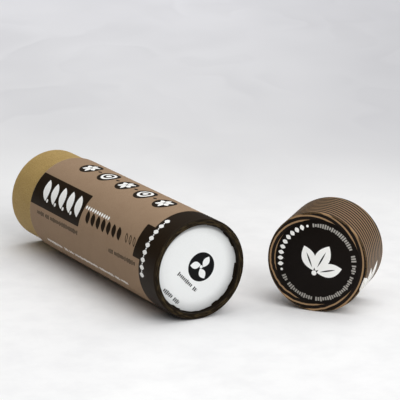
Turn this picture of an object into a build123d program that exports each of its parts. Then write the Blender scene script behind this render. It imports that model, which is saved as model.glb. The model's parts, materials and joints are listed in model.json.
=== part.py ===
from build123d import *
import math
import os

# A round paper tube box on its side, with its push-on cap taken off and lying beside it.
# Lengths are in millimetres and angles in degrees. The floor is at Z = 0, the tube's axis
# runs along +Y from its closed end to its mouth, and the origin is on the floor, under the
# middle of the box that holds the tube and the cap.
# Along each axis, distances count from the outer face of the closed end towards the mouth.

# Outer sizes of the tube and of the cap
outer_radius = 30.0
body_length = 158.0
neck_length = 28.0
cap_length = 37.0

# Thickness of each board and paper
wrap_paper = 0.2
sleeve_board = 0.85
inner_tube_board = 2.2
cup_paper = 0.3
base_board_thickness = 2.0
lining_paper = 0.2
cap_end_board_thickness = 2.0
label_card = 0.2

# The discs are pressed in place and bite into the soft tube wall by this much, on the radius
disc_bite = 0.1

# The closed end of the tube
board_corner_round = 0.8
base_recess = 3.0
turn_in_depth = 2.6
cup_bend_round = 0.25

# The open end of the tube
neck_edge_round = 0.3

# The cap: its fit on the neck, counted on the radius, and its closed end
cap_clearance = 0.2
cap_corner_round = 0.6
cap_end_recess = 0.3
cap_fold_width = 9.0
cap_label_margin = 3.55

# Where the cap lies: the middle of its closed face, seen from the middle of the tube's closed
# end, and the angle from the tube's axis to the cap's axis
cap_offset_x = 68.2
cap_offset_y = -18.8
cap_swing = 49.33

# Cuts run past the faces that they open by this much
overrun = 1.0

# Radii of the tube, from the outside inwards
sleeve_radius = outer_radius - wrap_paper
neck_radius = sleeve_radius - sleeve_board
tube_bore_radius = neck_radius - inner_tube_board
base_seat_radius = tube_bore_radius + disc_bite
cup_inner_radius = base_seat_radius - cup_paper
turn_in_radius = cup_inner_radius - wrap_paper

# Stations along the tube
tube_length = body_length + neck_length
base_board_start = base_recess + cup_paper
base_board_end = base_board_start + base_board_thickness
base_lining_end = base_board_end + lining_paper

# Radii of the cap, and stations along it
cap_bore_radius = neck_radius + cap_clearance
cap_seat_radius = cap_bore_radius + disc_bite
cap_crest_radius = cap_seat_radius - wrap_paper
cap_fold_radius = cap_crest_radius - cap_fold_width
cap_label_radius = cap_crest_radius - cap_label_margin
cap_board_start = cap_end_recess + wrap_paper
cap_board_end = cap_board_start + cap_end_board_thickness
cap_lining_end = cap_board_end + lining_paper

# Direction of the cap's axis, from its closed face to its mouth
cap_axis_x = math.sin(math.radians(cap_swing))
cap_axis_y = math.cos(math.radians(cap_swing))

# The box that holds both, seen from the middle of the tube's closed end. The cap's mouth is a
# sharp edge, and its closed end has a rounded one, whose arc is met from below.
cap_outer_round = cap_corner_round + wrap_paper
row_left = -outer_radius
row_right = cap_offset_x + cap_length * cap_axis_x + outer_radius * cap_axis_y
cap_arc_middle = cap_outer_round * cap_axis_y - (outer_radius - cap_outer_round) * cap_axis_x
row_near = cap_offset_y + cap_arc_middle - cap_outer_round
row_far = tube_length

# The tube's and the cap's own planes: local X runs along the axis, local Y is the radius, up
tube_origin = Vector(-(row_left + row_right) / 2, -(row_near + row_far) / 2, outer_radius)
cap_origin = tube_origin + Vector(cap_offset_x, cap_offset_y, 0)
cap_direction = Vector(cap_axis_x, cap_axis_y, 0)
tube_plane = Plane(origin=tube_origin, x_dir=(0, 1, 0), z_dir=(1, 0, 0))
cap_plane = Plane(origin=cap_origin, x_dir=cap_direction, z_dir=(cap_axis_y, -cap_axis_x, 0))
tube_axis = Axis(tube_origin, (0, 1, 0))
cap_axis = Axis(cap_origin, cap_direction)


def band(start, end, inner, outer, mode=Mode.ADD):
    """Draw the half section of a ring: from start to end along the axis, inner to outer radius."""
    with Locations((start, inner)):
        Rectangle(end - start, outer - inner, align=(Align.MIN, Align.MIN), mode=mode)


def write(piece, name):
    """Name a finished piece and write its file."""
    piece.part.label = name
    export_step(piece.part, "parts/" + name + ".step")


os.makedirs("parts", exist_ok=True)

# The half section of everything that the tube's wrap is folded around
with BuildSketch() as tube_core:
    band(wrap_paper, tube_length + overrun, cup_inner_radius, sleeve_radius)
    fillet(tube_core.vertices().group_by(Axis.X)[0], radius=board_corner_round)

# The half section of everything that the cap's wrap is folded around
with BuildSketch() as cap_core:
    band(wrap_paper, cap_length + overrun, 0, sleeve_radius)
    fillet(cap_core.vertices().group_by(Axis.X)[0].sort_by(Axis.Y)[-1], radius=cap_corner_round)
    band(0, cap_board_start, 0, cap_seat_radius, mode=Mode.SUBTRACT)

# Inner tube: the thick spiral-wound tube that runs the whole length and ends as the neck
with BuildPart() as inner_tube:
    with BuildSketch(tube_plane) as inner_tube_section:
        band(0, base_lining_end, base_seat_radius, neck_radius)
        band(base_lining_end, tube_length, tube_bore_radius, neck_radius)
        add(tube_core.sketch_local, mode=Mode.INTERSECT)
        fillet(inner_tube_section.vertices().group_by(Axis.X)[-1], radius=neck_edge_round)
    revolve(axis=tube_axis)
write(inner_tube, "inner_tube")

# Outer tube: the board sleeve glued round the inner tube, which makes the shoulder at the neck
with BuildPart() as outer_tube:
    with BuildSketch(tube_plane):
        band(0, body_length, neck_radius, sleeve_radius)
        add(tube_core.sketch_local, mode=Mode.INTERSECT)
    revolve(axis=tube_axis)
write(outer_tube, "outer_tube")

# Body wrap: the printed paper, folded over the rim of the closed end and turned in
with BuildPart() as body_wrap:
    with BuildSketch(tube_plane) as body_wrap_section:
        band(0, body_length, turn_in_radius, outer_radius)
        wrap_corners = body_wrap_section.vertices().group_by(Axis.X)[0]
        fillet(wrap_corners, radius=board_corner_round + wrap_paper)
        add(tube_core.sketch_local, mode=Mode.SUBTRACT)
        band(turn_in_depth, body_length + overrun, 0, cup_inner_radius, mode=Mode.SUBTRACT)
    revolve(axis=tube_axis)
write(body_wrap, "body_wrap")

# Bottom cup: the white paper disc, set back from the rim, with its edge bent out along the wall
with BuildPart() as bottom_cup:
    with BuildSketch(tube_plane) as bottom_cup_section:
        band(0, base_board_start, cup_inner_radius, base_seat_radius)
        add(tube_core.sketch_local, mode=Mode.INTERSECT)
        band(base_recess, base_board_start, 0, cup_inner_radius)
        bend = bottom_cup_section.vertices().sort_by_distance((base_recess, cup_inner_radius))[0]
        fillet(bend, radius=cup_bend_round)
    revolve(axis=tube_axis)
write(bottom_cup, "bottom_cup")

# Base board: the stiff disc glued inside the inner tube, behind the bottom cup
with BuildPart() as base_board:
    with BuildSketch(tube_plane):
        band(base_board_start, base_board_end, 0, base_seat_radius)
    revolve(axis=tube_axis)
write(base_board, "base_board")

# Base lining: the paper disc that covers the base board inside the tube
with BuildPart() as base_lining:
    with BuildSketch(tube_plane):
        band(base_board_end, base_lining_end, 0, base_seat_radius)
    revolve(axis=tube_axis)
write(base_lining, "base_lining")

# Cap tube: the thin board ring that slides over the neck
with BuildPart() as cap_tube:
    with BuildSketch(cap_plane):
        band(0, cap_lining_end, cap_seat_radius, sleeve_radius)
        band(cap_lining_end, cap_length, cap_bore_radius, sleeve_radius)
        add(cap_core.sketch_local, mode=Mode.INTERSECT)
    revolve(axis=cap_axis)
write(cap_tube, "cap_tube")

# Cap wrap: the striped paper round the cap tube, folded in over its closed end
with BuildPart() as cap_wrap:
    with BuildSketch(cap_plane) as cap_wrap_section:
        band(0, cap_length, cap_fold_radius, outer_radius)
        cap_corner = cap_wrap_section.vertices().group_by(Axis.X)[0].sort_by(Axis.Y)[-1]
        fillet(cap_corner, radius=cap_outer_round)
        band(0, cap_end_recess, 0, cap_crest_radius, mode=Mode.SUBTRACT)
        add(cap_core.sketch_local, mode=Mode.SUBTRACT)
    revolve(axis=cap_axis)
write(cap_wrap, "cap_wrap")

# Cap end board: the stiff disc glued inside the end of the cap tube
with BuildPart() as cap_end_board:
    with BuildSketch(cap_plane):
        band(cap_board_start, cap_board_end, 0, cap_seat_radius)
    revolve(axis=cap_axis)
write(cap_end_board, "cap_end_board")

# Cap label: the dark card disc glued over the folded-in edge of the wrap
with BuildPart() as cap_label:
    with BuildSketch(cap_plane):
        band(cap_end_recess - label_card, cap_end_recess, 0, cap_label_radius)
    revolve(axis=cap_axis)
write(cap_label, "cap_label")

# Cap lining: the paper disc that covers the end board inside the cap
with BuildPart() as cap_lining:
    with BuildSketch(cap_plane):
        band(cap_board_end, cap_lining_end, 0, cap_seat_radius)
    revolve(axis=cap_axis)
write(cap_lining, "cap_lining")

print("tube bore radius", round(tube_bore_radius, 3), "neck radius", round(neck_radius, 3))
print("cap bore radius", round(cap_bore_radius, 3), "cap depth", round(cap_length - cap_lining_end, 3))
print("tube origin", [round(value, 3) for value in tuple(tube_origin)])
print("cap origin", [round(value, 3) for value in tuple(cap_origin)])
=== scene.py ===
# %% [markdown]
# A round paper tube box lies on its side on a pale table, with its push-on cap taken off and
# lying beside it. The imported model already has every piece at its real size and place. This
# lesson dresses those pieces: it rebuilds the papers that are folded and creased by hand on
# the real thing, and gives each board and paper a material worked out from plain maths.

# %% Load the frame
import json
import math

import bmesh
import bpy
from mathutils import Matrix, Vector, noise


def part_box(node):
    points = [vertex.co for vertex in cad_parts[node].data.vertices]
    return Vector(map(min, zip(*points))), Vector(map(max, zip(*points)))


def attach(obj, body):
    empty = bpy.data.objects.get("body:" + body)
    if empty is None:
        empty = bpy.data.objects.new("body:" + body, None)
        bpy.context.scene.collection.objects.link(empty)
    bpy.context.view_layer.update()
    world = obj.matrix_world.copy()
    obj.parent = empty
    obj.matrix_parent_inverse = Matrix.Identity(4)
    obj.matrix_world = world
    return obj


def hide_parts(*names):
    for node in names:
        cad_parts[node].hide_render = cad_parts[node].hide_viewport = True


scene = bpy.context.scene
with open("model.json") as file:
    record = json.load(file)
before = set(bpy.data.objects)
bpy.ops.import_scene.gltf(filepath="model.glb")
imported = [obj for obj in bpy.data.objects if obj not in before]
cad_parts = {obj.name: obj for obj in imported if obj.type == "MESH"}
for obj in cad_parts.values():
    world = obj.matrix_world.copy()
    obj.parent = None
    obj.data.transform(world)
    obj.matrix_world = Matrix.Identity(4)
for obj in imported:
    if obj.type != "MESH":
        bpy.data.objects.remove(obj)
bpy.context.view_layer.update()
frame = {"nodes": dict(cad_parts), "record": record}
print("nodes", list(frame["nodes"]))

# %% [markdown]
# Every size comes from the frame, so that a piece made here fits the piece beside it. The tube
# lies along Y, so the boxes of its nodes give its radii and stations. The cap lies at an angle,
# so its place and direction come from the flat mount on its label. Shapes are worked out in
# millimetres and made metres when they are laid down.

# %% Measure the tube and the cap
mm = 0.001


def box_of(node):
    """The lowest and highest corner of a node, in millimetres."""
    return [Vector(corner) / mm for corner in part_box(node)]


def round_size(node):
    """The radius of a node of the tube, and where it starts and ends along Y."""
    low, high = box_of(node)
    return (high.x - low.x) / 2, low.y, high.y


outer_radius, tube_start, body_end = round_size("body_wrap")
neck_radius, _, mouth_end = round_size("inner_tube")
seat_radius, _, _ = round_size("bottom_cup")
_, board_start, _ = round_size("base_board")
_, _, lining_end = round_size("base_lining")

body_length = body_end - tube_start
tube_length = mouth_end - tube_start
wrap_low, wrap_high = box_of("body_wrap")
tube_foot = Vector(((wrap_low.x + wrap_high.x) / 2, tube_start, (wrap_low.z + wrap_high.z) / 2))

cap_mount = next(item for item in frame["record"]["mounts"] if item["name"] == "cap_face")
cap_axis = -Vector(cap_mount["axis"]).normalized()
label_set_back = 0.1
cap_foot = Vector(cap_mount["pos_m"]) / mm - label_set_back * cap_axis

print("outer radius", round(outer_radius, 2), "neck radius", round(neck_radius, 2))
print("body length", round(body_length, 2), "tube length", round(tube_length, 2))
print("tube foot", [round(value, 2) for value in tube_foot])
print("cap foot", [round(value, 2) for value in cap_foot])

# %% [markdown]
# Board and paper have thicknesses of their own, which the boxes above don't give. They are
# written down once here, in millimetres, as a box maker would note them. The white paper gets a
# little less than the room that the model leaves for it, so that it touches nothing. A hair's
# breadth keeps other faces apart that would lie on each other.

# %% Thicknesses of board and paper
wrap_paper = 0.2
inner_board = 2.2
cap_board_wall = 0.65
disc_bite = 0.1
cup_room = 0.3
cup_paper = 0.28
cap_length = 37.0
cap_play = 0.2
cap_recess = 0.3
cap_fold_radius = 20.05
hair = 0.01

sleeve_radius = outer_radius - wrap_paper
bore_radius = neck_radius - inner_board
cup_inner = seat_radius - cup_room
turn_in_radius = cup_inner - wrap_paper
recess = board_start - tube_start - cup_room
cap_bore = neck_radius + cap_play
cap_seat = cap_bore + disc_bite
cap_crest = cap_seat - wrap_paper
label_low, label_high = box_of("cap_label")
label_radius = (label_high.z - label_low.z) / 2
print("recess", round(recess, 2), "turn-in radius", round(turn_in_radius, 2))
print("label radius", round(label_radius, 2), "cap bore", round(cap_bore, 2))

# %% [markdown]
# Each round piece is built upright round the Z axis, with Z counting from its closed end, and
# is then laid down in one step. The laying-down matrix turns Z into the piece's axis, keeps the
# piece's Y pointing up, and makes the millimetres metres.

# %% Where the round pieces are laid down
def laid_down(foot, axis):
    """The matrix that takes an upright piece in millimetres to its place: Z along axis, Y up."""
    up = Vector((0, 0, 1))
    turn = Matrix((up.cross(axis), up, axis)).transposed().to_4x4()
    return Matrix.Scale(mm, 4) @ Matrix.Translation(foot) @ turn


tube_place = laid_down(tube_foot, Vector((0, 1, 0)))
cap_place = laid_down(cap_foot, cap_axis)

# %% [markdown]
# The camera stands far away with a long lens, a little above the table, and leans by a degree,
# as a camera held by hand does. Its place is given from the middle of the tube's closed end.

# %% Camera
camera_lens = 196.2
camera_from_tube = Vector((-615.0, -1024.7, 367.8))
camera_heading = math.radians(59.058)
camera_dip = math.radians(15.279)
camera_lean = math.radians(1.185)


def add_object(name, data):
    """An object at the origin, in the scene."""
    made = bpy.data.objects.new(name, data)
    scene.collection.objects.link(made)
    return made


camera_data = bpy.data.cameras.new("camera")
camera_data.lens = camera_lens
camera_data.sensor_width = 36
camera_data.clip_end = 50
camera = add_object("camera", camera_data)
scene.camera = camera

turn_to_heading = Matrix.Rotation(camera_heading - math.radians(90), 4, "Z")
tip_down = Matrix.Rotation(math.radians(90) - camera_dip, 4, "X")
lean_over = Matrix.Rotation(camera_lean, 4, "Z")
stand = Matrix.Translation((tube_foot + camera_from_tube) * mm)
camera.matrix_world = stand @ turn_to_heading @ tip_down @ lean_over
print("camera stands at", [round(value, 3) for value in camera.matrix_world.translation])

# %% [markdown]
# The materials need sums: how far a point is from a printed leaf, or which stripe it lies on.
# In Blender such sums are chains of Math nodes. Here a wire stands for the output of a node,
# and a plus, minus or times on a wire adds one Math node and hands back its output. So a chain
# of nodes reads like the sum on paper.

# %% Wires, and sums on them
def sign(operation):
    """A sign of arithmetic between wires, which adds one Math node."""
    return lambda *values: calc(operation, *values)


class Wire:
    """The output of a node. Signs of arithmetic on it add nodes beside it."""

    __add__ = sign("ADD")
    __sub__ = sign("SUBTRACT")
    __mul__ = sign("MULTIPLY")
    __truediv__ = sign("DIVIDE")
    __mod__ = sign("MODULO")
    __pow__ = sign("POWER")
    __abs__ = sign("ABSOLUTE")
    __gt__ = sign("GREATER_THAN")
    __lt__ = sign("LESS_THAN")

    def __init__(self, socket):
        self.socket = socket
        self.tree = socket.id_data

    def __rsub__(self, other):
        return calc("SUBTRACT", other, self)


def connect(value, socket):
    """Links a wire to a socket, or writes a plain number, vector or colour into it."""
    if isinstance(value, Wire):
        value.tree.links.new(value.socket, socket)
    else:
        socket.default_value = value


def add_node(kind, *values, named=(), output=0, **settings):
    """Adds a node beside the first wire of its values, and hands back one of its outputs.

    The values feed its first inputs in turn, and named is pairs of an input and a value.
    """
    tree = next(value.tree for value in values if isinstance(value, Wire))
    node = tree.nodes.new("ShaderNode" + kind)
    for name, setting in settings.items():
        setattr(node, name, setting)
    for value, socket in zip(values, node.inputs):
        connect(value, socket)
    for name, value in named:
        connect(value, node.inputs[name])
    return Wire(node.outputs[output])


def calc(operation, *values, clamp=False):
    return add_node("Math", *values, operation=operation, use_clamp=clamp)


def least(one, other):
    return calc("MINIMUM", one, other)


def most(one, other):
    return calc("MAXIMUM", one, other)


# %% [markdown]
# Places are vectors, and need nodes of their own that take them apart, put them together, and
# measure or turn them. The other helpers are a range, a cloudy noise and a blend of colours.

# %% Helpers for vectors, ranges, noise and colours
def all_outputs(wire):
    """Wires of all outputs of the node that a wire comes from."""
    return [Wire(output) for output in wire.socket.node.outputs]


def calc_vector(operation, *values):
    return add_node("VectorMath", *values, operation=operation)


def scaled(vector, factor):
    return add_node("VectorMath", vector, named=[("Scale", factor)], operation="SCALE")


def turned(vector, angle, centre=(0, 0, 0)):
    """The vector turned round Z, by an angle in radians."""
    return add_node(
        "VectorRotate", vector, centre, named=[("Angle", angle)], rotation_type="Z_AXIS",
    )


def length_of(vector):
    return add_node("VectorMath", vector, output="Value", operation="LENGTH")


def parts_of(vector):
    return all_outputs(add_node("SeparateXYZ", vector))


def vector_of(x, y, z=0.0):
    return add_node("CombineXYZ", x, y, z)


def paint(mask, under, over):
    """Paints one colour over another where the mask is 1. Inputs 6 and 7 are the colours."""
    return add_node("Mix", mask, named=[(6, under), (7, over)], output=2, data_type="RGBA")


def in_range(value, low, high, new_low=0.0, new_high=1.0):
    """Takes low to high into new_low to new_high, held to its ends."""
    return add_node("MapRange", value, low, high, new_low, new_high)


def grain(place, scale, detail=2.0, roughness=0.5):
    """The grey value of a cloudy noise, about 0.5 on average."""
    named = [("Scale", scale), ("Detail", detail), ("Roughness", roughness)]
    return add_node("TexNoise", place, named=named, output="Fac")


def source(tree, kind, output):
    """A node that needs no input, such as one that gives a place or the kind of a light ray."""
    return Wire(tree.nodes.new("ShaderNode" + kind).outputs[output])


def tone(red, green, blue):
    """A colour as seen on a screen, 0 to 255, as the light values that a shader needs."""
    shares = [value / 255 for value in (red, green, blue)]
    light = [s / 12.92 if s <= 0.04045 else ((s + 0.055) / 1.055) ** 2.4 for s in shares]
    return (*light, 1.0)


# %% [markdown]
# A node group is a piece of wiring with a name, built once and used in many materials. The
# first groups draw the printed marks. Each works out how far a point lies inside the mark, in
# millimetres, and turns that into a mask with a slightly soft edge, as ink has on paper.

# %% Groups: leaf, disc and panel
def start_group(name, inputs, outputs):
    """A new node group with named sockets: the group, wires from its inputs, and its outputs."""
    group = bpy.data.node_groups.new(name, "ShaderNodeTree")
    for way, sockets in (("INPUT", inputs), ("OUTPUT", outputs)):
        for label in sockets:
            kind = "NodeSocketVector" if label in ("Place", "Middle", "Size") else "NodeSocketFloat"
            group.interface.new_socket(label, in_out=way, socket_type=kind)
    entry = group.nodes.new("NodeGroupInput").outputs
    leave = group.nodes.new("NodeGroupOutput").inputs
    return group, {label: Wire(entry[label]) for label in inputs}, leave


def use_group(group, *values):
    """Places a group, with values in the order of its inputs, and hands back its outputs."""
    return all_outputs(add_node("Group", *values, node_tree=group))


def from_middle_of(entry):
    return calc_vector("SUBTRACT", entry["Place"], entry["Middle"])


ink_edge = 0.16


def inked(inside):
    """A mask from the distance inside a mark: half at its edge, full a little further in."""
    return calc("MULTIPLY_ADD", inside, 1 / ink_edge, 0.5, clamp=True)


leaf_mark, entry, leave = start_group(
    "leaf_mark", ["Place", "Middle", "Turn", "Length", "Width"], ["Mask"],
)
along, across, _ = parts_of(turned(from_middle_of(entry), entry["Turn"] * -1.0))
share = along * 2.0 / entry["Length"]
half_width = (1.0 - share * share) * (entry["Width"] * 0.5)
connect(inked(half_width - abs(across)), leave["Mask"])

disc_mark, entry, leave = start_group("disc_mark", ["Place", "Middle", "Radius"], ["Mask"])
connect(inked(entry["Radius"] - length_of(from_middle_of(entry))), leave["Mask"])

panel_mark, entry, leave = start_group(
    "panel_mark", ["Place", "Middle", "Size", "Round"], ["Mask"],
)
offset = calc_vector("ABSOLUTE", from_middle_of(entry))
half_size = calc_vector("MULTIPLY", entry["Size"], (0.5, 0.5, 0.5))
past_x, past_y, _ = parts_of(calc_vector("SUBTRACT", offset, half_size))
past_x = past_x + entry["Round"]
past_y = past_y + entry["Round"]
past_corner = length_of(vector_of(most(past_x, 0.0), most(past_y, 0.0)))
past_side = least(most(past_x, past_y), 0.0)
connect(inked(entry["Round"] - (past_corner + past_side)), leave["Mask"])
print("mark groups", [group.name for group in bpy.data.node_groups])

# %% [markdown]
# Printed marks come in rows, rings and rosettes. These groups don't draw: they fold the place,
# so that every item of the row sees itself at the middle, and one drawn mark becomes many.
# Folding costs a handful of nodes, where drawing each mark by itself would cost hundreds.

# %% Groups: row, ring and rosette
row_fold, entry, leave = start_group(
    "row_fold", ["Place", "First", "Step", "Count"], ["Place", "Number"],
)
x, y, _ = parts_of(entry["Place"])
from_first = y - entry["First"]
number = calc("ROUND", from_first / entry["Step"])
number = most(least(number, entry["Count"] - 1.0), 0.0)
connect(vector_of(x, from_first - number * entry["Step"]), leave["Place"])
connect(number, leave["Number"])

ring_fold, entry, leave = start_group("ring_fold", ["Place", "Middle", "Radius"], ["Place"])
x, y, _ = parts_of(from_middle_of(entry))
reach = length_of(vector_of(x, y)) - entry["Radius"]
connect(vector_of(reach, calc("ARCTAN2", y, x) * entry["Radius"]), leave["Place"])

rosette_fold, entry, leave = start_group(
    "rosette_fold", ["Place", "Middle", "Petals", "Turn"], ["Place"],
)
x, y, _ = parts_of(from_middle_of(entry))
reach = length_of(vector_of(x, y))
angle = calc("ARCTAN2", y, x) - entry["Turn"]
sector = calc("DIVIDE", 2 * math.pi, entry["Petals"])
angle = angle - calc("ROUND", angle / sector) * sector
folded = vector_of(reach * calc("COSINE", angle), reach * calc("SINE", angle))
connect(folded, leave["Place"])
print("folding groups", row_fold.name, ring_fold.name, rosette_fold.name)

# %% [markdown]
# A tick line is a row of fine upright strokes of uneven height, with a gap here and there. It
# cuts the place into steps, and draws a random height for each step from its number, so that
# the line is the same each run.

# %% Group: tick line
tick_half = 0.32
tick_least = 0.26
tick_most = 0.5
gap_share = 0.07
gap_seed = 50.5


def random_value(number, seed):
    """A value from 0 to 1 that is the same each run for the same number."""
    drawn = source(number.tree, "TexWhiteNoise", "Value")
    drawn.socket.node.noise_dimensions = "1D"
    connect(number + seed, drawn.socket.node.inputs["W"])
    return drawn


tick_line, entry, leave = start_group(
    "tick_line", ["Place", "First", "Last", "Step", "Height", "Seed"], ["Mask"],
)
x, y, _ = parts_of(entry["Place"])
steps = (y - entry["First"]) / entry["Step"]
number = calc("FLOOR", steps)
inside_step = (tick_half - abs(calc("FRACT", steps) - 0.5)) * entry["Step"]
tallness = in_range(random_value(number, entry["Seed"]), 0, 1, tick_least, tick_most)
inside_height = tallness * entry["Height"] - abs(x)
inside_ends = least(y - entry["First"], entry["Last"] - y)
inside = least(least(inside_step, inside_height), inside_ends)
shown = random_value(number, entry["Seed"] + gap_seed) > gap_share
connect(inked(inside) * shown, leave["Mask"])
print("tick line nodes", len(tick_line.nodes))

# %% [markdown]
# Paper and board share two more effects. Fibres give the sheet a faint cloudiness and a fine
# tooth. Wear rubs the ink off along folded edges, in patches that get rarer away from the edge.

# %% Groups: paper fibre and edge wear
paper_fibre, entry, leave = start_group("paper_fibre", ["Place", "Fineness"], ["Shade", "Height"])
cloud = grain(entry["Place"], scale=0.12, detail=3.0, roughness=0.6)
finer = scaled(entry["Place"], entry["Fineness"])
tooth = grain(finer, scale=1.0, detail=3.0, roughness=0.65)
strands = grain(calc_vector("MULTIPLY", finer, (0.35, 1.0, 1.6)), scale=1.0, detail=1.0)
mixed = calc("MULTIPLY_ADD", cloud, 0.15, tooth * 0.5)
connect(calc("MULTIPLY_ADD", strands, 0.35, mixed), leave["Shade"])
connect(calc("MULTIPLY_ADD", tooth, 0.6, strands * 0.4), leave["Height"])

edge_wear, entry, leave = start_group("edge_wear", ["Place", "Distance", "Reach"], ["Mask"])
patches = grain(entry["Place"], scale=0.9, detail=4.0, roughness=0.7)
away = abs(entry["Distance"]) / entry["Reach"]
connect(calc("MULTIPLY", patches - 0.3 - away * 0.4, 5.0, clamp=True), leave["Mask"])
print("paper groups", paper_fibre.name, edge_wear.name)

# %% [markdown]
# Every material starts from the Principled shader. Patterns read either the place in space, in
# millimetres, or the print map of the piece, which is laid out as the flat sheet was printed.
# All papers start and end alike, so one helper lays out what they read, and another wires up
# what they give.

# %% Helpers for materials
def start_material(name, specular):
    material = bpy.data.materials.new(name + "_finish")
    material.use_nodes = True
    shader = material.node_tree.nodes["Principled BSDF"]
    shader.inputs["Specular IOR Level"].default_value = specular
    return material


def place_in_space(material):
    """The place of a point in the scene, in millimetres."""
    return scaled(source(material.node_tree, "TexCoord", "Object"), 1 / mm)


def place_on_sheet(material):
    """The place on the printed sheet: round the piece in X and along it in Y, in millimetres."""
    place = source(material.node_tree, "UVMap", "UV")
    place.socket.node.uv_map = "sheet"
    return place


def start_paper(name, specular, fineness):
    """A paper: its material, place on the sheet and in space, and the shade and tooth of fibres."""
    material = start_material(name, specular)
    space = place_in_space(material)
    shade, tooth = use_group(paper_fibre, space, fineness)
    return material, place_on_sheet(material), space, shade, tooth


def finish_paper(material, colour, roughness, height, depth):
    """Wires up the shader. Height runs from 0 to 1 and stands for depth millimetres."""
    shader = material.node_tree.nodes["Principled BSDF"]
    connect(colour, shader.inputs["Base Color"])
    connect(roughness, shader.inputs["Roughness"])
    bump = material.node_tree.nodes.new("ShaderNodeBump")
    bump.inputs["Distance"].default_value = depth * mm
    connect(height, bump.inputs["Height"])
    connect(Wire(bump.outputs["Normal"]), shader.inputs["Normal"])
    return material


def clouded(shade, dark, light, spread=0.14):
    """A colour that wanders between two tones with the shade of the fibres."""
    return paint(in_range(shade, 0.5 - spread, 0.5 + spread), dark, light)


def lapped(u, lap_place, tooth):
    """The height of a sheet that has a step where its end laps over its start."""
    return calc("MULTIPLY_ADD", in_range(u - lap_place, -0.2, 0.2), 2.0, tooth * 0.4)


def worn(space, distance, reach):
    return use_group(edge_wear, space, distance, reach)[0]


# %% [markdown]
# These helpers place the groups that draw and fold. A place on a sheet has two numbers, round
# the piece and along it, and the groups take three, so the third is always 0.

# %% Helpers for printed marks
def any_of(*masks):
    """The mask that covers what any of the masks covers."""
    total = masks[0]
    for mask in masks[1:]:
        total = most(total, mask)
    return total


def leaf(place, middle, turn, length, width):
    """A leaf-shaped mark. Turn is in degrees, from the sheet's X direction."""
    return use_group(leaf_mark, place, (*middle, 0), math.radians(turn), length, width)[0]


def disc(place, middle, radius):
    return use_group(disc_mark, place, (*middle, 0), radius)[0]


def panel(place, low, high, corner_round):
    middle = [(a + b) / 2 for a, b in zip(low, high)]
    size = [b - a for a, b in zip(low, high)]
    return use_group(panel_mark, place, (*middle, 0), (*size, 0), corner_round)[0]


def row(place, first, step, count):
    """Folds a row that runs along the sheet's Y direction."""
    return use_group(row_fold, place, first, step, count)[0]


def rosette(place, middle, petals, turn):
    return use_group(rosette_fold, place, (*middle, 0), petals, turn)[0]


def ticks(place, column, first, last, step, height, seed):
    """A line of fine upright strokes of uneven height along the sheet's Y direction."""
    shifted = calc_vector("SUBTRACT", place, (column, 0, 0))
    return use_group(tick_line, shifted, first, last, step, height, seed)[0]


def swapped(place):
    """The same place with X and Y exchanged, for rows that run round the piece."""
    x, y, _ = parts_of(place)
    return vector_of(y, x)


# %% [markdown]
# The body wrap is brown paper, printed with plain leaves, dots and discs. The dark marks come
# first: a band at the closed end with its tab, the front panel, a row of bold leaves that thin
# out, five discs with links, and lines of fine strokes.

# %% Dark marks of the body wrap
band_end = 18.2
panel_left = 5.2
panel_right = 26.2
panel_round = 0.8
leaf_turn = 28
spot_column = 46.0
spot_first = 39.5
spot_step = 22.8
spot_count = 5


def body_dark_marks(sheet, v):
    band = inked(band_end - v)
    tab = panel(sheet, (panel_left, band_end - 2), (panel_right, 26.3), panel_round)
    front = panel(sheet, (panel_left, 94.0), (panel_right, 160.0), panel_round)
    bold = row(sheet, first=47.2, step=6.5, count=7)
    bold = leaf(bold, (13.2, 0), leaf_turn, length=8.8, width=4.6)
    thin = row(sheet, first=28.8, step=4.6, count=3)
    hollow = leaf(thin, (13.0, 0), leaf_turn, length=4.6, width=1.3)
    thin = leaf(thin, (13.0, 0), leaf_turn, length=6.6, width=2.6) - hollow
    spots = row(sheet, spot_first, spot_step, spot_count)
    spots = disc(spots, (spot_column, 0), radius=7.6)
    links = row(sheet, spot_first + spot_step / 2, spot_step, spot_count - 1)
    links = leaf(links, (spot_column, 0), 90, length=4.2, width=1.9)
    fine = ticks(sheet, 1.3, first=94.0, last=148.0, step=1.4, height=3.1, seed=3.0)
    finer = ticks(sheet, 1.2, first=22.5, last=56.5, step=1.4, height=3.1, seed=11.0)
    return any_of(band, tab, front, bold, thin, spots, links, fine, finer)


# %% [markdown]
# White marks lie on the dark ones: a sprig with dots on the panel, flowers and rings in the
# discs, and small leaves and dots round the band. A line of lozenges and one of fine strokes
# lie on the brown paper itself.

# %% White marks of the body wrap
band_column = 14.4
band_step = 4.5


def spot_figures(sheet):
    """A flower or a ring in each disc, in turn."""
    place, number = use_group(row_fold, sheet, spot_first, spot_step, spot_count)
    middle = (spot_column, 0)
    flower = leaf(rosette(place, middle, petals=6.0, turn=0.3), (3.3, 0), 0, length=5.2, width=2.9)
    ring = disc(place, middle, radius=5.2) - disc(place, middle, radius=3.5)
    ring = any_of(ring, disc(place, middle, radius=1.8))
    odd = number % 2.0
    return ring * odd + flower * (1.0 - odd)


def body_white_marks(sheet):
    sprig = row(sheet, first=101.5, step=10.4, count=5)
    sprig = leaf(sprig, (16.6, 0), 24, length=14.6, width=7.2)
    dots = row(sheet, first=106.7, step=10.4, count=4)
    dots = disc(dots, (10.6, 0), radius=1.15)
    small = row(sheet, first=64.6, step=2.75, count=11)
    small = leaf(small, (18.4, 0), 0, length=2.6, width=1.9)
    rule = ticks(sheet, -16.5, first=38.0, last=142.0, step=1.5, height=2.9, seed=23.0)
    round_sheet = swapped(sheet)
    on_band = row(round_sheet, -3.0, band_step, count=9)
    on_band = leaf(on_band, (band_column, 0), 0, length=4.9, width=3.0)
    between = row(round_sheet, -0.75, band_step, count=8)
    between = disc(between, (band_column, 0), radius=0.55)
    return any_of(sprig, dots, small, spot_figures(sheet), rule, on_band, between)


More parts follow.
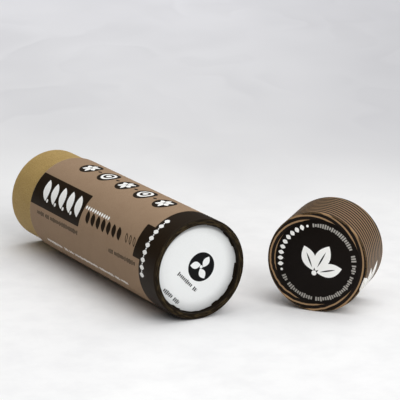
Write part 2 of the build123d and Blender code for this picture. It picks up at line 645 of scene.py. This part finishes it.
# %% [markdown]
# The dark ink covers the rim too, where the folded paper was rubbed, so that long thin streaks show
# lighter on its face. The streaks are partly rubbed ink and partly a painted highlight along the
# rounded crest. On the print map the rim is the part below zero: the sheet goes on over the edge
# and inwards.

# %% The print of the body wrap
wrap_dark = tone(149, 124, 100)
wrap_light = tone(165, 140, 115)
ink_dark = tone(33, 24, 15)
ink_light = tone(41, 31, 20)
white_ink = tone(254, 254, 251)
rim_ink = tone(25, 18, 10)
rim_rub_and_highlight = tone(76, 64, 42)
bare_edge = tone(196, 180, 156)
rim_middle = -2.0
streak_stretch = (0.16, 1.3, 1.0)
body_lap = 94.0


def make_body_print():
    material, sheet, space, shade, tooth = start_paper("body_print", 0.06, fineness=2.2)
    u, v, _ = parts_of(sheet)
    dark = body_dark_marks(sheet, v)
    paper = clouded(shade, wrap_dark, wrap_light, spread=0.12)
    ink = clouded(shade, ink_dark, ink_light, spread=0.15)
    colour = paint(dark, paper, ink)
    colour = paint(body_white_marks(sheet), colour, white_ink)
    # Streaks on the rim face: partly rubbed ink, partly painted highlight along the crest.
    streaks = calc_vector("MULTIPLY", sheet, streak_stretch)
    streaks = in_range(grain(streaks, scale=1.0, detail=3.0, roughness=0.6), 0.46, 0.7)
    on_face = in_range(abs(v - rim_middle), 2.0, 0.8)
    rim = paint(streaks * on_face, rim_ink, rim_rub_and_highlight)
    colour = paint(in_range(v, 0.8, -0.6), colour, rim)
    at_mouth = worn(space, v - body_length, reach=0.7) * 0.6
    colour = paint(at_mouth, colour, bare_edge)
    rough = in_range(dark, 0, 1, 0.58, 0.42) + in_range(tooth, 0.3, 0.7, -0.05, 0.05)
    return finish_paper(material, colour, rough, lapped(u, body_lap, tooth), depth=0.06)


body_print = make_body_print()
print("body print nodes", len(body_print.node_tree.nodes))

# %% [markdown]
# Round pieces are turned as on a lathe. A closed outline of a few points is the half section
# of the piece, and the spin operator carries it once round the Z axis. A full spin with
# use_merge joins its last ring to its first. Folds that are rounded on the real paper are
# bevelled afterwards, one ring-shaped edge at a time.

# %% Turning a piece
round_steps = 360
same_place = 0.005


def soften(shape, radius, height, offset, segments):
    """Bevels the ring-shaped edge at this radius and height."""
    ring = [edge for edge in shape.edges if all(
        abs(vert.co.xy.length - radius) < same_place and abs(vert.co.z - height) < same_place
        for vert in edge.verts
    )]
    bmesh.ops.bevel(
        shape, geom=ring, offset=offset, segments=segments, profile=0.5,
        affect="EDGES", material=-1,
    )


def lathe(outline, rounds=(), closed=True):
    """Spins an outline of (radius, height) points in millimetres once round Z.

    Each of the rounds is the radius and height of an edge, and its bevel's offset and segments.
    """
    shape = bmesh.new()
    verts = [shape.verts.new((radius, 0, height)) for radius, height in outline]
    edges = [shape.edges.new(pair) for pair in zip(verts, verts[1:])]
    if closed:
        edges.append(shape.edges.new((verts[-1], verts[0])))
    bmesh.ops.spin(
        shape, geom=verts + edges, cent=(0, 0, 0), axis=(0, 0, 1),
        angle=2 * math.pi, steps=round_steps, use_merge=True,
    )
    bmesh.ops.remove_doubles(shape, verts=shape.verts, dist=0.0005)
    bmesh.ops.recalc_face_normals(shape, faces=shape.faces)
    for edge_round in rounds:
        soften(shape, *edge_round)
    return shape


def cut_rings(shape, inner, outer, cuts):
    """Divides the flat ring between two radii into more rings."""
    spokes = [edge for edge in shape.edges if abs(
        edge.verts[0].co.xy.length - edge.verts[1].co.xy.length
    ) > 1.0 and all(inner - hair <= vert.co.xy.length <= outer + hair for vert in edge.verts)]
    bmesh.ops.subdivide_edges(shape, edges=spokes, cuts=cuts)


# %% [markdown]
# A turned piece then gets its print map, is laid down at its place, and is handed to the frame.
# The print map of a wall runs round the piece from a seam on its underside. A flat disc is
# mapped as it is seen from outside.

# %% Mapping a piece and handing it over
sharp_angle = math.radians(35)


def around(co):
    """The angle of a point round Z, from the side that lies on the table and back to it."""
    return (math.atan2(co.y, co.x) + math.pi / 2) % (2 * math.pi) - math.pi / 2


def map_sheet(shape, along):
    """Writes the print map: the way round the outside in X, and along(point) in Y."""
    layer = shape.loops.layers.uv.new("sheet")
    for face in shape.faces:
        middle = around(face.calc_center_median())
        for corner in face.loops:
            angle = around(corner.vert.co)
            angle = middle + (angle - middle + math.pi) % (2 * math.pi) - math.pi
            corner[layer].uv = (angle * outer_radius, along(corner.vert.co))


def map_face(shape):
    """Writes the print map of a flat disc: right and up, as seen from outside."""
    layer = shape.loops.layers.uv.new("sheet")
    for face in shape.faces:
        for corner in face.loops:
            corner[layer].uv = (-corner.vert.co.x, corner.vert.co.y)


def add_mesh(shape, name, material):
    mesh = bpy.data.meshes.new(name)
    shape.to_mesh(mesh)
    shape.free()
    mesh.materials.append(material)
    print(name, "faces", len(mesh.polygons))
    return add_object(name, mesh)


def make_piece(shape, name, material, place, body, replaced):
    """Lays a finished shape down, and hands it to the frame."""
    for face in shape.faces:
        face.smooth = True
    for edge in shape.edges:
        edge.smooth = edge.calc_face_angle(0.0) < sharp_angle
    bmesh.ops.transform(shape, matrix=place, verts=shape.verts)
    piece = add_mesh(shape, name, material)
    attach(piece, body)
    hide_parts(replaced)


# %% [markdown]
# Paper that is folded in by hand never lies quite even. Two curves round the circle give its
# heights: straight stretches between random heights, as in a wavy edge, and slanting ones with
# a small step between them, as in a pleated edge.

# %% Uneven edges
def uneven(angle, count, seed):
    """Straight stretches between random heights from -1 to 1, round the circle."""
    step = (angle / (2 * math.pi) * count) % count
    whole = int(step)
    spots = [(i % count * 3.71 + seed, seed * 1.3, 0.5) for i in (whole, whole + 1)]
    heights = [noise.noise(spot) * 2 for spot in spots]
    return heights[0] + (heights[1] - heights[0]) * (step - whole)


def stepped(angle, count, seed):
    """Slanting stretches of random height and width with a small step between them."""
    warp = 0.35 * math.sin(3 * angle + seed) + 0.25 * math.sin(7 * angle + 2 * seed)
    step = (angle / (2 * math.pi) * count + warp) % count
    whole = int(step)
    height, slope = (noise.noise((whole * 5.13 + seed, lane, 1.5)) * 2 for lane in (0.5, 9.5))
    return height + slope * (step - whole - 0.5)


# %% [markdown]
# The body wrap is one sheet of paper, rolled round the board and folded over the rim of the
# closed end. Its raw edge is turned in and pressed against the wall and onto the white disc.
# Nobody trims it there, so it ends in a wavy line with flats between small pleats.

# %% The body wrap
edge_lip = 0.8
lip_front = recess - 0.2
lip_back = recess - 0.03
pleats = 27
crimps = 61
wall_start = 1.0
wall_wave = 0.10
lip_pleat = 0.5
lip_crimp = 0.22
push_most = 0.6


def wrap_along(co):
    """How far along the printed sheet a point of the body wrap is."""
    radius = co.xy.length
    if radius > (outer_radius + turn_in_radius) / 2:
        return co.z - (outer_radius - radius)
    return -(outer_radius - radius) - co.z


wrap_outline = [
    (outer_radius, body_length), (outer_radius, 0), (turn_in_radius, 0),
    (turn_in_radius, lip_front), (turn_in_radius - edge_lip, lip_front),
    (turn_in_radius - edge_lip, lip_back), (cup_inner, lip_back), (cup_inner, wrap_paper),
    (sleeve_radius, wrap_paper), (sleeve_radius, body_length),
]
wrap_rounds = [
    (outer_radius, 0, 1.0, 8),
    (turn_in_radius, 0, 0.45, 6),
    (sleeve_radius, wrap_paper, 0.8, 4),
    (cup_inner, wrap_paper, 0.25, 3),
    (turn_in_radius, lip_front, 0.25, 4),
]
wrap = lathe(wrap_outline, wrap_rounds)
for vert in wrap.verts:
    radius = vert.co.xy.length
    if radius < cup_inner + 0.05 and vert.co.z > wall_start:
        angle = around(vert.co)
        depth = (vert.co.z - wall_start) / (recess - wall_start)
        at_edge = max(0.0, (turn_in_radius - radius) / edge_lip)
        inner_face = min(1.0, (cup_inner - radius) * 5)
        push = wall_wave * uneven(angle, pleats * 2, 5.0) * depth * inner_face
        pleated = lip_pleat * stepped(angle, pleats, 1.0)
        push += (pleated + lip_crimp * uneven(angle, crimps, 2.0)) * at_edge
        vert.co.xy *= (radius + min(push, push_most)) / radius
map_sheet(wrap, wrap_along)
make_piece(wrap, "body_wrap_paper", body_print, tube_place, "tube", "body_wrap")

# %% [markdown]
# The bottom cup is a disc of white paper inside the rim. It was pressed down onto the board by
# hand, so it isn't quite flat: it has a soft hollow near its edge, where it bends to climb the
# wall. The pressed hollow is a wave in the mesh, cut into rings first so that it can bend.

# %% The white bottom disc
flat_radius = 8.0
dome_height = 0.6
dome_start = 18.0
dome_width = 7.0
hollow_radius = 23.6
hollow_width = 2.6
hollow_depth = 0.07
swell_height = 0.05
cup_wall_end = wrap_paper + 1.0
cup_outline = [
    (0, recess), (flat_radius, recess), (cup_inner - hair, recess),
    (cup_inner - hair, cup_wall_end), (seat_radius - hair, cup_wall_end),
    (seat_radius - hair, recess + cup_paper), (flat_radius, recess + cup_paper),
    (0, recess + cup_paper),
]
cup = lathe(cup_outline, closed=False)
cut_rings(cup, flat_radius, seat_radius, 18)
for vert in cup.verts:
    radius = vert.co.xy.length
    if radius < cup_inner - 0.2 and vert.co.z < recess + cup_paper / 2:
        swell = noise.noise(vert.co * 0.11 + Vector((3.0, 1.0, 7.0)))
        ripple = noise.noise(Vector((vert.co.x * 0.35, vert.co.y * 0.35, 4.0)))
        past_dome = min(1.0, max(0.0, (radius - dome_start) / dome_width))
        dome = 0.5 + 0.5 * math.cos(math.pi * past_dome)
        near_edge = max(0.0, 1 - abs(radius - hollow_radius) / hollow_width)
        hollow = hollow_depth * near_edge * (0.8 + ripple)
        vert.co.z += hollow + swell_height * abs(swell) - dome_height * dome
map_face(cup)

# %% [markdown]
# Near its edge the white paper is greyed by painted shade, most of all on the right, and a painted
# shadow of the rim lies along its top: two rings round shifted middles give that. It is printed
# with a black badge that holds three leaves, and with two slanting lines of fine strokes.

# %% The white paper material
white_dark = tone(233, 235, 235)
white_light = tone(241, 243, 243)
painted_shade_grey = tone(70, 70, 72)
badge_black = tone(12, 12, 14)
shade_ring_middle = (-1.7, 1.0, 0)
rim_shadow_middle = (0.5, -3.0, 0)
badge_middle = (2.5, 0.6)
disc_tick_step = 1.3
disc_lines = [
    ((-12.8, -1.0), (-0.6, -13.3), 2.8, 19.0),
    ((-21.9, -9.6), (-12.0, -19.2), 2.9, 41.0),
]


def slanting_ticks(sheet, first, last, height, seed):
    """A line of strokes from one place on the sheet to another."""
    slope = math.atan2(last[1] - first[1], last[0] - first[0])
    upright = turned(sheet, math.pi / 2 - slope, centre=(*first, 0))
    upright = calc_vector("SUBTRACT", upright, (*first, 0))
    return ticks(upright, 0.0, 0.0, math.dist(first, last), disc_tick_step, height, seed)


def make_white_paper():
    material, sheet, _, shade, tooth = start_paper("white_paper", 0.1, fineness=2.6)
    colour = clouded(shade, white_dark, white_light)
    # Painted shade: a grey ring near the wall, strongest on the right.
    shade_ring = length_of(calc_vector("SUBTRACT", sheet, shade_ring_middle))
    shade_ring = in_range(shade_ring, 20.0, 27.0) ** 1.5
    colour = paint(shade_ring * 0.45, colour, painted_shade_grey)
    # Painted shadow of the rim: a grey band along the top of the disc.
    rim_shadow = length_of(calc_vector("SUBTRACT", sheet, rim_shadow_middle))
    colour = paint(in_range(rim_shadow, 26.2, 27.4, 0.0, 0.6), colour, painted_shade_grey)
    petals = rosette(sheet, badge_middle, petals=3.0, turn=0.55)
    petals = leaf(petals, (4.1, 0.5), 24, length=6.9, width=4.3)
    figure = any_of(petals, disc(sheet, badge_middle, radius=1.0))
    badge = disc(sheet, badge_middle, radius=8.7) * (1.0 - figure)
    black = any_of(badge, *[slanting_ticks(sheet, *line) for line in disc_lines])
    colour = paint(black, colour, badge_black)
    return finish_paper(material, colour, in_range(black, 0, 1, 0.6, 0.45), tooth, depth=0.03)


white_paper = make_white_paper()
make_piece(cup, "bottom_disc", white_paper, tube_place, "tube", "bottom_cup")

# %% [markdown]
# The inner tube is wound from many layers of brown paper, in a screw round the tube. On the
# neck that leaves one faint slanting line where the outermost strip meets itself, and on the
# cut mouth it leaves fine rings, one for each layer. Both are drawn on the print map, which
# runs up the outside, over the cut edge and down the inside.

# %% The kraft board material
kraft_dark = tone(161, 132, 77)
kraft_light = tone(191, 162, 102)
cap_board_dark = tone(164, 139, 90)
cap_board_light = tone(186, 160, 108)
fleck_dark = tone(112, 88, 48)
fleck_pale = tone(205, 184, 140)
seam_brown = tone(120, 96, 54)
ply_dark = tone(150, 128, 88)
ply_light = tone(196, 176, 134)
rubbed_kraft = tone(204, 186, 146)
cut_spread = 0.15


def board_along(outer, inner, end):
    """The sheet distance of a point of a board tube: up its outside, over its end and back."""
    def along(co):
        radius = co.xy.length
        if radius > (outer + inner) / 2:
            return co.z + (outer - radius)
        return end + (outer - radius) + (end - co.z)
    return along


def make_board(name, dark, light, end, thickness, layers, strip):
    """Wound board. Strip is the width of the paper strips that it is wound from."""
    material, sheet, space, shade, tooth = start_paper(name, 0.25, fineness=1.6)
    u, v, _ = parts_of(sheet)
    colour = clouded(shade, dark, light)
    flecks = grain(calc_vector("MULTIPLY", space, (1.0, 0.45, 1.0)), scale=1.3, detail=1.0)
    colour = paint(in_range(flecks, 0.66, 0.74) * 0.35, colour, fleck_dark)
    colour = paint(in_range(flecks, 0.32, 0.26) * 0.3, colour, fleck_pale)
    wound = calc("MULTIPLY_ADD", u, strip / (2 * math.pi * outer_radius), v)
    from_seam = abs(calc("FRACT", wound / strip) - 0.5) * strip
    seam = in_range(from_seam, 0.16, 0.05) * (v < end)
    colour = paint(seam * 0.45, colour, seam_brown)
    past_end = v - (end - cut_spread)
    on_cut = (past_end > 0.0) * (past_end < thickness + 2 * cut_spread)
    across = calc("MULTIPLY_ADD", grain(space, scale=0.35), 0.25, past_end)
    layer = calc("SINE", across * (2 * math.pi * layers / thickness))
    layer = calc("MULTIPLY_ADD", layer, 0.5, 0.5)
    colour = paint(on_cut, colour, paint(layer, ply_dark, ply_light))
    colour = paint(worn(space, past_end, reach=0.9) * 0.5, colour, rubbed_kraft)
    rough = in_range(tooth, 0.3, 0.7, 0.66, 0.8)
    height = calc("MULTIPLY_ADD", tooth, 0.7, layer * on_cut * 1.2) - seam * 0.8
    return finish_paper(material, colour, rough, height, depth=0.07)


kraft_board = make_board(
    "kraft_board", kraft_dark, kraft_light, tube_length, inner_board, layers=6, strip=88.0,
)
cap_board = make_board(
    "cap_board", cap_board_dark, cap_board_light, cap_length, cap_board_wall, layers=3, strip=70.0,
)
print("board nodes", len(kraft_board.node_tree.nodes))

# %% [markdown]
# The inner tube runs the whole length of the box and ends as the neck that the cap slides on.
# Its end was cut by a turning blade, which leaves both edges of the cut slightly rounded.

# %% The inner tube and the cap tube
lining_top = lining_end - tube_start
inner_outline = [
    (neck_radius, tube_length), (neck_radius, wall_start), (seat_radius, wall_start),
    (seat_radius, lining_top), (bore_radius, lining_top), (bore_radius, tube_length),
]
inner_rounds = [(neck_radius, tube_length, 0.3, 4), (bore_radius, tube_length, 0.3, 4)]
inner = lathe(inner_outline, inner_rounds)
map_sheet(inner, board_along(neck_radius, bore_radius, tube_length))
make_piece(inner, "inner_tube_board", kraft_board, tube_place, "tube", "inner_tube")

cap_lining_top = 2.7
cap_outline = [
    (sleeve_radius, cap_length), (sleeve_radius, wall_start), (cap_seat, wall_start),
    (cap_seat, cap_lining_top), (cap_bore, cap_lining_top), (cap_bore, cap_length),
]
cap_ring = lathe(cap_outline, [(cap_bore, cap_length, 0.15, 3)])
map_sheet(cap_ring, board_along(sleeve_radius, cap_bore, cap_length))
make_piece(cap_ring, "cap_tube_board", cap_board, cap_place, "cap", "cap_tube")

# %% [markdown]
# The cap wrap is striped paper, folded in over the closed end. On the real cap the stripes slant:
# on one side they lie 11 mm further up the cap than on the other, so they cross the corner at
# two places and run on over the face, where the gathered paper brings them closer together and
# makes them a little uneven. The print map carries them round in the same way.

# %% The cap wrap
slant_most = 5.7
slant_way = Vector((-0.99, -0.14))
corner_round = 0.8
face_stretch = 1.17
side_slip = 1.2
fold_paper = 0.18
gathers = 57
gather_height = 0.10


def cap_along(co):
    """How far along the striped sheet a point of the cap wrap is."""
    radius = co.xy.length
    way = co.xy.normalized()
    slant = slant_most * (slant_way.dot(way) - 1)
    past_face = radius - (outer_radius - corner_round)
    face_end = -face_stretch * corner_round
    if past_face <= 0:
        rough = 0.22 * noise.noise((way.x * 12, way.y * 12, 8.0)) * max(0.0, way.x - way.y + 0.4)
        return face_end + past_face * face_stretch + slant + rough
    share = min(1.0, math.atan2(past_face, max(0.0, corner_round - co.z)) / (math.pi / 2))
    side = max(corner_round, co.z) - side_slip
    return face_end + (side - face_end) * share + slant


cap_wrap_outline = [
    (outer_radius, cap_length), (outer_radius, 0), (cap_crest, 0), (cap_crest, cap_recess),
    (cap_fold_radius, cap_recess), (cap_fold_radius, cap_recess + fold_paper),
    (cap_seat - 2 * hair, cap_recess + fold_paper), (cap_seat - 2 * hair, wrap_paper),
    (sleeve_radius, wrap_paper), (sleeve_radius, cap_length),
]
cap_wrap_rounds = [
    (outer_radius, 0, corner_round, 8),
    (cap_crest, 0, 0.25, 3),
    (cap_crest, cap_recess, 0.12, 2),
    (sleeve_radius, wrap_paper, 0.6, 4),
]
cap_sheet = lathe(cap_wrap_outline, cap_wrap_rounds)
cut_rings(cap_sheet, cap_fold_radius, cap_crest, 12)
for vert in cap_sheet.verts:
    radius = vert.co.xy.length
    if label_radius < radius < cap_crest - 0.2 and vert.co.z < cap_recess + 0.1:
        way = vert.co.xy.normalized()
        gather = max(0.0, uneven(around(vert.co), gathers, 9.0)) * 0.5
        low_left = 0.4 + 0.6 * max(0.0, way.x - way.y) / 1.4
        vert.co.z -= gather_height * gather * low_left
map_sheet(cap_sheet, cap_along)

# %% [markdown]
# The stripes are tan lines on dark ink, with a spray of white leaves on one side. The ink is
# rubbed a little along the corner. That wear follows the corner and not the slanting stripes,
# so the slant is taken off the print map again.

# %% The striped print
stripe_step = 3.45
stripe_start = -1.14
stripes_before = 20
tan_half = 0.165
stripe_ink = tone(24, 17, 12)
tan_dark = tone(152, 122, 90)
tan_light = tone(170, 139, 105)
corner_rubbed = tone(150, 118, 76)
cap_lap = 50.0
spray = [
    ((108.7, 18.3), 156.0, 27.0, 11.5),
    ((108.5, 11.3), 188.0, 23.0, 10.0),
    ((110.5, 5.6), 213.0, 24.0, 11.5),
    ((128.5, 14.5), 8.0, 15.0, 8.5),
]


def make_striped_print():
    material, sheet, space, shade, tooth = start_paper("striped_print", 0.1, fineness=2.2)
    u, v, _ = parts_of(sheet)
    tan = clouded(shade, tan_dark, tan_light, spread=0.12)
    stripes = (v - (stripe_start - stripes_before * stripe_step)) / stripe_step
    from_tan = abs(calc("FRACT", stripes) - 0.5)
    dark = inked((from_tan - tan_half) * stripe_step)
    colour = paint(dark, tan, stripe_ink)
    for middle, turn, length, width in spray:
        vein = leaf(sheet, middle, turn, length * 0.7, 1.1)
        white = leaf(sheet, middle, turn, length, width) * (1.0 - vein)
        colour = paint(white, colour, white_ink)
    turn = calc("MULTIPLY_ADD", u, 1 / outer_radius, -math.atan2(slant_way.y, slant_way.x))
    level = v - (calc("COSINE", turn) - 1.0) * slant_most
    at_corner = worn(space, level + 0.7, reach=0.5) * 0.35
    colour = paint(at_corner, colour, corner_rubbed)
    rough = in_range(dark, 0, 1, 0.52, 0.42)
    return finish_paper(material, colour, rough, lapped(u, cap_lap, tooth), depth=0.06)


striped_print = make_striped_print()
make_piece(cap_sheet, "cap_wrap_paper", striped_print, cap_place, "cap", "cap_wrap")

# %% [markdown]
# The cap label is a dark card disc glued over the gathered paper. It carries a plain sprout of
# three white leaves, with a ring of marks round it: bold lozenges on one side and fine strokes
# on the other, with a dot where they meet.

# %% The cap label
label_card = 0.2
label_shift = Vector((-0.2, 0.2, 0))
label_outline = [
    (0, cap_recess - label_card), (label_radius, cap_recess - label_card),
    (label_radius, cap_recess - hair), (0, cap_recess - hair),
]
card = lathe(label_outline, [(label_radius, cap_recess - label_card, 0.07, 2)], closed=False)
bmesh.ops.translate(card, verts=card.verts, vec=label_shift)
map_face(card)

ring_radius = 22.2
per_degree = ring_radius * math.pi / 180
label_dark = tone(15, 10, 7)
label_light = tone(20, 14, 10)
fine_ink = tone(206, 202, 194)
sprout_foot = Vector((-1.6, -6.6))
sprout_gap = 1.6
sprout = [(63, 17.5, 9.0), (112, 15.5, 8.2), (14, 15.5, 8.2)]


def sprout_leaf(sheet, turn, length, width):
    """One leaf of the sprout, with a dark vein in its lower part."""
    away = Vector((math.cos(math.radians(turn)), math.sin(math.radians(turn))))
    middle = sprout_foot + away * (length / 2 + sprout_gap)
    vein = leaf(sheet, tuple(middle - away * 1.0), turn, length * 0.62, 0.9)
    return leaf(sheet, tuple(middle), turn, length, width) * (1.0 - vein)


def along_ring(sheet, side):
    """The place along the ring of marks, from the side at this angle in degrees."""
    from_side = turned(sheet, math.radians(-side))
    return use_group(ring_fold, from_side, (0, 0, 0), ring_radius)[0]


def make_label_print():
    material, sheet, _, shade, tooth = start_paper("label_print", 0.08, fineness=2.6)
    leaves = [sprout_leaf(sheet, *item) for item in sprout]
    heart = disc(sheet, tuple(sprout_foot), radius=1.5)
    bold_side = along_ring(sheet, 152)
    bold = row(bold_side, -36 * per_degree, 9 * per_degree, count=9)
    bold = leaf(bold, (0, 0), 0, length=3.5, width=2.5)
    dots = row(bold_side, -45 * per_degree, 90 * per_degree, count=2)
    white = any_of(*leaves, heart, bold, disc(dots, (0, 0), radius=0.75))
    fine = ticks(
        along_ring(sheet, -28), 0.0, first=-127 * per_degree, last=127 * per_degree,
        step=1.45, height=3.0, seed=31.0,
    )
    colour = paint(fine * 0.62, clouded(shade, label_dark, label_light), fine_ink)
    colour = paint(white, colour, white_ink)
    rough = in_range(any_of(white, fine), 0, 1, 0.4, 0.52)
    return finish_paper(material, colour, rough, tooth, depth=0.025)


label_print = make_label_print()
make_piece(card, "cap_label_card", label_print, cap_place, "cap", "cap_label")

# %% [markdown]
# The pieces that stay as the model has them are plain discs and a plain sleeve. Only their
# faces and cut edges show, deep inside the box, so they get board and paper materials that
# read the place in space and need no print map.

# %% Boards and linings kept from the model
def make_plain_board(name, dark, light, fineness):
    material = start_material(name, 0.2)
    space = place_in_space(material)
    shade, tooth = use_group(paper_fibre, space, fineness)
    flecks = in_range(grain(space, scale=1.1, detail=1.0), 0.66, 0.74)
    colour = paint(flecks * 0.3, clouded(shade, dark, light), dark)
    return finish_paper(material, colour, in_range(tooth, 0.3, 0.7, 0.7, 0.82), tooth, depth=0.05)


sleeve_finish = make_plain_board("sleeve_board", tone(128, 110, 84), tone(150, 132, 104), 1.8)
grey_board = make_plain_board("grey_board", tone(126, 120, 110), tone(150, 144, 134), 1.5)
lining_paper = make_plain_board("lining_paper", tone(170, 148, 104), tone(188, 166, 122), 2.2)

kept = {
    "outer_tube": sleeve_finish,
    "base_board": grey_board,
    "cap_end_board": grey_board,
    "base_lining": lining_paper,
    "cap_lining": lining_paper,
}
for node, finish in kept.items():
    part = frame["nodes"][node]
    part.material_slots[0].material = finish
print("kept from the model", sorted(kept))

# %% [markdown]
# The table and the backdrop are one pale sheet of paper. In the photograph it turns a little greyer
# behind the object, most of all on the right, where less light reaches it; that greying is painted
# shade. It has soft rumples, a few sharper folds behind the object and a faint mottling in front:
# the shading of the rumples and folds is painted as darker patches and lines, and the mottling is
# the sheet's own uneven tone. So the floor's colour changes with the distance along the camera's
# heading and with the way to the right. It is painted on the floor and doesn't follow the camera.

# %% Floor
floor_size = 8.0
floor_stops = [(-200, 247, 0), (150, 245, 0), (320, 230, 1), (430, 227, 2), (950, 238, 4)]
floor_shade_and_mottle = tone(198, 198, 202)
floor_bounce = tone(225, 224, 223)
shade_most = 0.46
rumple_shading_most = 0.13
mottle_most = 0.12
fold_shading_least = 0.02
fold_shading_most = 0.25
folds = 9.0
fold_back = 5.0


def ramp_of(distance):
    """The floor's colour, greyer towards the back as painted shade. A stop is a distance, a grey
    tone and how much bluer it is.
    """
    low, high = floor_stops[0][0], floor_stops[-1][0]
    colour = add_node("ValToRGB", in_range(distance, low, high))
    elements = colour.socket.node.color_ramp.elements
    while len(elements) < len(floor_stops):
        elements.new(0.5)
    for element, (spot, _, _) in zip(elements, floor_stops):
        element.position = (spot - low) / (high - low)
    for element, (_, grey, blue) in zip(elements, floor_stops):
        element.color = tone(grey, grey, grey + blue)
    return colour


def make_floor_paper():
    material = start_material("floor_paper", 0.2)
    tree = material.node_tree
    shader = tree.nodes["Principled BSDF"]
    shader.inputs["Roughness"].default_value = 0.8
    space = place_in_space(material)
    to_right, distance, _ = parts_of(turned(space, math.radians(90) - camera_heading))
    sheet = vector_of(to_right * 0.5, distance * 0.3)
    # Painted shade: greyer behind the object and towards the right.
    behind = in_range(distance, 180, 330, 0.0, shade_most)
    shade = behind * in_range(to_right, 10, 170)
    # Painted shading of the soft rumples.
    rumple_shading = grain(sheet, scale=0.02)
    rumple_shading = in_range(rumple_shading, 0.35, 0.65, 0.0, rumple_shading_most)
    mottle = in_range(grain(space, scale=0.045, detail=4.0, roughness=0.65), 0.42, 0.64)
    mottle = mottle * in_range(distance, 280, 90, 0.0, mottle_most)
    # Painted shading along a few sharper folds behind the object.
    fold_shading = calc("FRACT", grain(sheet, scale=0.011, detail=2.5) * folds)
    fold_shading = least(fold_shading, (1.0 - fold_shading) * fold_back)
    fold_shading = fold_shading * in_range(grain(sheet, scale=0.017, detail=1.0), 0.42, 0.62)
    fold_shading = fold_shading * in_range(distance, 120, 320, fold_shading_least, fold_shading_most)
    colour = ramp_of(distance)
    for mask in (shade, rumple_shading, mottle, fold_shading):
        colour = paint(mask, colour, floor_shade_and_mottle)
    bounced = source(tree, "LightPath", "Is Diffuse Ray")
    connect(paint(bounced, colour, floor_bounce), shader.inputs["Base Color"])
    return material


floor_shape = bmesh.new()
bmesh.ops.create_grid(floor_shape, x_segments=1, y_segments=1, size=floor_size)
floor = add_mesh(floor_shape, "floor", make_floor_paper())

# %% [markdown]
# The light is that of a plain room with a wide ceiling light: a pale sky that is brightest
# overhead and has a weaker part on the right, and one big soft lamp in front. Together they
# light a level sheet so that its colour shows about as it is written. A sky that is bright
# overhead leaves a tight, dark shadow where the tube and the cap touch down. Where the camera
# looks past the floor, it sees a plain pale grey.

# %% Light
sky_parts = [(Vector((0, 0, 1)), 1.72), (Vector((1, 0, 1)).normalized(), 0.76)]
sky_focus = 4.0
sky_least = 0.04
sky_seen = tone(220, 220, 221)
lamp_way = Vector((0, -0.848, 0.53))
lamp_distance = 2.2
lamp_size = 1.7
lamp_power = 25.5


def make_sky():
    world = bpy.data.worlds.new("sky")
    world.use_nodes = True
    tree = world.node_tree
    light = tree.nodes["Background"]
    direction = source(tree, "TexCoord", "Generated")
    level = sky_least
    for side, strength in sky_parts:
        toward = add_node(
            "VectorMath", direction, tuple(side), output="Value", operation="DOT_PRODUCT",
        )
        level = calc("MULTIPLY_ADD", most(toward, 0.0) ** sky_focus, strength, level)
    connect(level, light.inputs["Strength"])
    connect((1.0, 1.0, 1.0, 1.0), light.inputs["Color"])
    seen = source(tree, "Background", "Background")
    connect(sky_seen, seen.socket.node.inputs["Color"])
    on_camera = source(tree, "LightPath", "Is Camera Ray")
    chosen = add_node("MixShader", on_camera, Wire(light.outputs[0]), seen)
    connect(chosen, tree.nodes["World Output"].inputs["Surface"])
    return world


scene.world = make_sky()

lamp_data = bpy.data.lights.new("soft_lamp", "AREA")
lamp_data.shape = "DISK"
lamp_data.size = lamp_size
lamp_data.energy = lamp_power
lamp = add_object("soft_lamp", lamp_data)
lamp.location = lamp_way * lamp_distance
lamp.rotation_mode = "QUATERNION"
lamp.rotation_quaternion = lamp_way.to_track_quat("Z", "Y")

scene.view_settings.view_transform = "Standard"
print("lights", lamp.name, scene.world.name)
